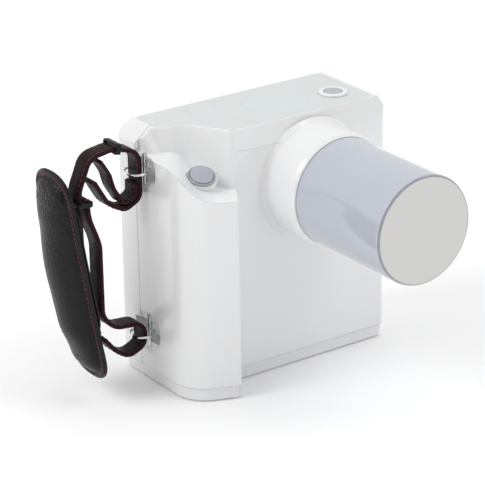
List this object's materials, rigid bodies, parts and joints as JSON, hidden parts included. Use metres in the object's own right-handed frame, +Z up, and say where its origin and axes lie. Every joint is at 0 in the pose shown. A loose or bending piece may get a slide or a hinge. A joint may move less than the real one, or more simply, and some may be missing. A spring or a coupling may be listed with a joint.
{
  "type": "handheld intraoral x-ray unit",
  "caption": "Handheld dental x-ray unit: white case with beam cone, thumb button, rear screen and keys, and a leather hand strap that swings at the side.",
  "frame": {"origin": "mouth of the tripod socket in the base, under the beam axis", "axes": "+Z up, beam leaves along -Y, hand strap on the -X side"},
  "size_m": [0.2221, 0.1702, 0.1605],
  "materials": {
    "white_gloss": "glossy moulded ABS",
    "overlay_film": "printed polyester film",
    "silver_trim": "satin silver plated plastic",
    "black_plastic": "moulded black plastic",
    "cone_plastic": "smoked lavender-grey acrylic",
    "cone_cap_plastic": "satin warm grey plastic",
    "lead": "dull lead sheet",
    "aluminium": "machined",
    "steel": "zinc plated",
    "tube_glass": "clear borosilicate",
    "copper": "bare copper",
    "ferrite": "sintered ferrite",
    "circuit_board": "green solder mask",
    "display_glass": "black-tinted acrylic window",
    "panel_grey": "printed polyester film",
    "battery_sleeve": "shrink sleeve",
    "rubber": "moulded rubber",
    "brass": "turned brass",
    "button_lavender": "glossy lavender-grey plastic",
    "key_plastic": "glossy lavender-grey plastic",
    "leather_black": "pebbled black leather",
    "leather_strap": "smooth dark leather, burgundy edges",
    "ring_chrome": "bright wire"
  },
  "bodies": {
    "case": {"front_shell": "white_gloss", "rear_shell": "white_gloss", "base_cover": "white_gloss", "top_overlay": "overlay_film", "exposure_bezel": "silver_trim", "exposure_switch": "black_plastic", "power_bezel": "white_gloss", "power_switch": "black_plastic", "cone_tube": "cone_plastic", "cone_end_cap": "cone_cap_plastic", "cone_lead_lining": "lead", "cone_retaining_ring": "aluminium", "cone_screws": "steel", "beam_filter": "aluminium", "lead_diaphragm": "lead", "tube_head_tank": "aluminium", "tank_lid": "aluminium", "beam_window": "black_plastic", "xray_tube_glass": "tube_glass", "copper_anode": "copper", "cathode_cup": "steel", "transformer_core": "ferrite", "transformer_winding": "copper", "voltage_multiplier_board": "circuit_board", "main_board": "circuit_board", "key_board": "circuit_board", "display_module": "black_plastic", "display_window": "display_glass", "rear_panel": "panel_grey", "battery_cells": "battery_sleeve", "battery_tray": "black_plastic", "chassis_bracket": "steel", "buzzer": "black_plastic", "charge_socket": "black_plastic", "strap_pin_upper": "steel", "strap_pin_lower": "steel", "case_screws": "steel", "base_screws": "steel", "rubber_feet": "rubber", "tripod_insert": "brass"},
    "exposure_button": {"exposure_button": "button_lavender"},
    "power_button": {"power_button": "button_lavender"},
    "key_menu": {"key_menu": "key_plastic"},
    "key_up": {"key_up": "key_plastic"},
    "key_set": {"key_set": "key_plastic"},
    "key_left": {"key_left": "key_plastic"},
    "key_right": {"key_right": "key_plastic"},
    "hand_strap": {"hand_pad": "leather_black", "pad_lining": "leather_black", "upper_strap": "leather_strap", "lower_strap": "leather_strap", "strap_tail": "leather_strap", "strap_keeper_top": "leather_black", "strap_keeper_side": "leather_black", "strap_ring_upper": "ring_chrome", "strap_ring_lower": "ring_chrome"}
  },
  "joints": [
    {"name": "exposure_press", "type": "slide", "parent": "case", "child": "exposure_button", "axis": [0.1001, 0.4004, -0.9109], "range_m": [0, 0.0012], "stiffness_N_per_m": 900, "springref_m": -0.0008},
    {"name": "power_press", "type": "slide", "parent": "case", "child": "power_button", "axis": [0, 0, -1], "range_m": [0, 0.0008], "stiffness_N_per_m": 900, "springref_m": -0.0008},
    {"name": "key_menu_press", "type": "slide", "parent": "case", "child": "key_menu", "axis": [0, -1, 0], "range_m": [0, 0.0006], "stiffness_N_per_m": 900, "springref_m": -0.0008},
    {"name": "key_up_press", "type": "slide", "parent": "case", "child": "key_up", "axis": [0, -1, 0], "range_m": [0, 0.0006], "stiffness_N_per_m": 900, "springref_m": -0.0008},
    {"name": "key_set_press", "type": "slide", "parent": "case", "child": "key_set", "axis": [0, -1, 0], "range_m": [0, 0.0006], "stiffness_N_per_m": 900, "springref_m": -0.0008},
    {"name": "key_left_press", "type": "slide", "parent": "case", "child": "key_left", "axis": [0, -1, 0], "range_m": [0, 0.0006], "stiffness_N_per_m": 900, "springref_m": -0.0008},
    {"name": "key_right_press", "type": "slide", "parent": "case", "child": "key_right", "axis": [0, -1, 0], "range_m": [0, 0.0006], "stiffness_N_per_m": 900, "springref_m": -0.0008},
    {"name": "hand_strap_swing", "type": "hinge", "parent": "case", "child": "hand_strap", "pos_m": [-0.0958, 0.0045, 0.0835], "axis": [0, 0, 1], "range_deg": [-25, 25]}
  ]
}
